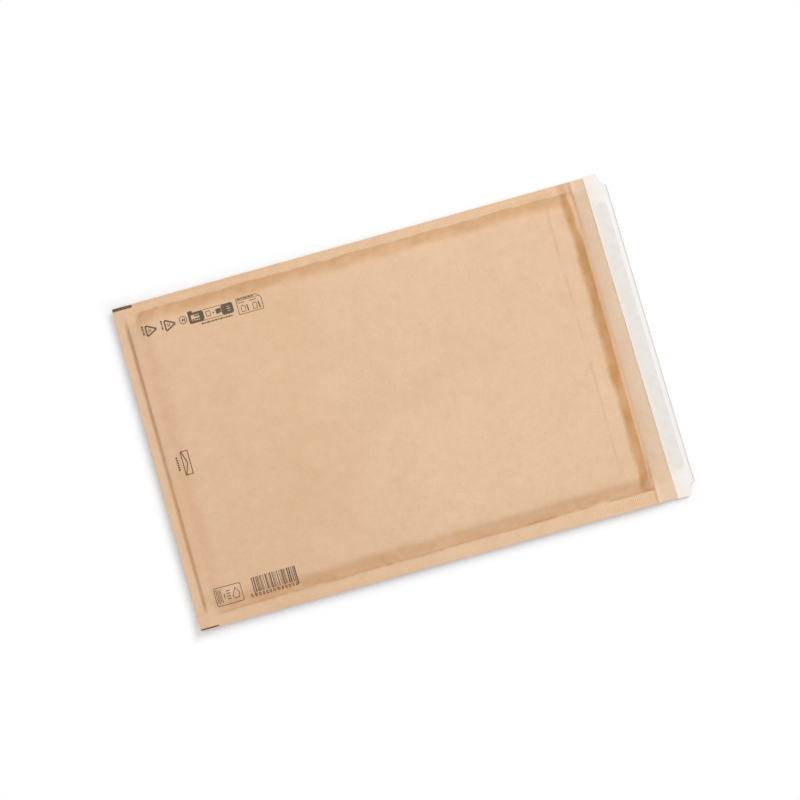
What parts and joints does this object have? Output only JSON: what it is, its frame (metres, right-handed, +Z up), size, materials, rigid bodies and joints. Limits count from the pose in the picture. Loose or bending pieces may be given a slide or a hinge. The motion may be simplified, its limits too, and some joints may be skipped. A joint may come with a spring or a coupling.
{
  "type": "padded mailing envelope",
  "caption": "Flat padded mailer of brown kraft paper with a bubble-film lining, crimped side seams, an open mouth and a short flap with a peel-off closure strip.",
  "frame": {"origin": "middle of the whole outline, on the surface that the bag lies on", "axes": "+X from the folded bottom to the flap, +Y across the bag to its upper side seam, +Z up out of the front panel"},
  "size_m": [0.4944, 0.3216, 0.0132],
  "materials": {
    "kraft_paper": "matt",
    "bubble_film": "clear, glossy",
    "adhesive": "tacky, glossy",
    "liner_paper": "silicone coated, satin"
  },
  "bodies": {
    "root": {"paper_bag": "kraft_paper", "bubble_lining": "bubble_film", "adhesive_strip": "adhesive", "release_liner": "liner_paper"}
  },
  "joints": []
}
